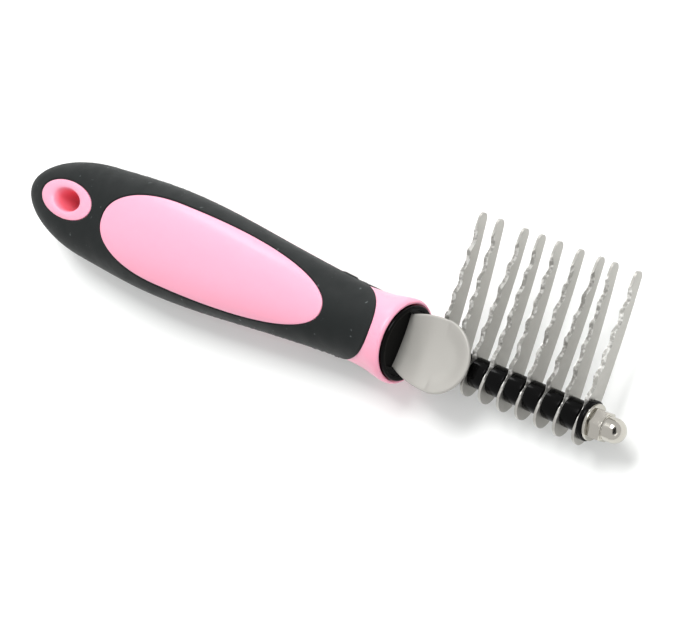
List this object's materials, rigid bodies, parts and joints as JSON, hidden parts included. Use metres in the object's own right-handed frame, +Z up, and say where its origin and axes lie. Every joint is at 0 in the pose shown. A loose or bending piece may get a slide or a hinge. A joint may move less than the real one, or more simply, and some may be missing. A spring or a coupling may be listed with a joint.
{
  "type": "undercoat rake",
  "caption": "Pet de-matting rake: soft-grip handle, thumb rest, and a row of scalloped blades clamped on a rod by a cap nut.",
  "frame": {"origin": "centre of the underside of the bounding box, on the surface that the handle rests on", "axes": "+X along the rod from the handle to the cap nut, +Y towards the blade tips, +Z up through the thumb rest"},
  "size_m": [0.2102, 0.0528, 0.0239],
  "materials": {
    "pink_plastic": "pale pink moulded plastic, satin gloss",
    "soft_grip": "soft-touch matt black rubber with fine grain",
    "black_plastic": "glossy black moulded plastic",
    "satin_steel": "satin stainless steel",
    "blade_steel": "satin stainless blades with a ground bright bevel",
    "bright_steel": "bright nickel-plated steel",
    "insert_brass": "plain turned brass"
  },
  "bodies": {
    "rake": {"handle_core": "pink_plastic", "grip": "soft_grip", "collar_plug": "black_plastic", "thumb_rest": "satin_steel", "rod": "bright_steel", "rod_insert": "insert_brass", "rod_lock_pin": "satin_steel", "stop_collar": "satin_steel", "end_ring": "black_plastic", "blade_1": "blade_steel", "blade_2": "blade_steel", "blade_3": "blade_steel", "blade_4": "blade_steel", "blade_5": "blade_steel", "blade_6": "blade_steel", "blade_7": "blade_steel", "blade_8": "blade_steel", "blade_9": "blade_steel", "spacer_1": "black_plastic", "spacer_2": "black_plastic", "spacer_3": "black_plastic", "spacer_4": "black_plastic", "spacer_5": "black_plastic", "spacer_6": "black_plastic", "spacer_7": "black_plastic", "spacer_8": "black_plastic"},
    "clamp_washer": {"washer": "bright_steel"},
    "cap_nut": {"cap_nut": "bright_steel"}
  },
  "joints": [
    {"name": "washer_slide", "type": "slide", "parent": "rake", "child": "clamp_washer", "axis": [1, 0, 0], "range_m": [0, 0.0053]},
    {"name": "cap_nut_turn", "type": "hinge", "parent": "clamp_washer", "child": "cap_nut", "pos_m": [0.0985, -0.01085, 0.0101], "axis": [1, 0, 0], "range_deg": [0, 2730]}
  ],
  "couplings": [
    {"joint": "cap_nut_turn", "follows": "washer_slide", "rad_per_m": 8976}
  ]
}
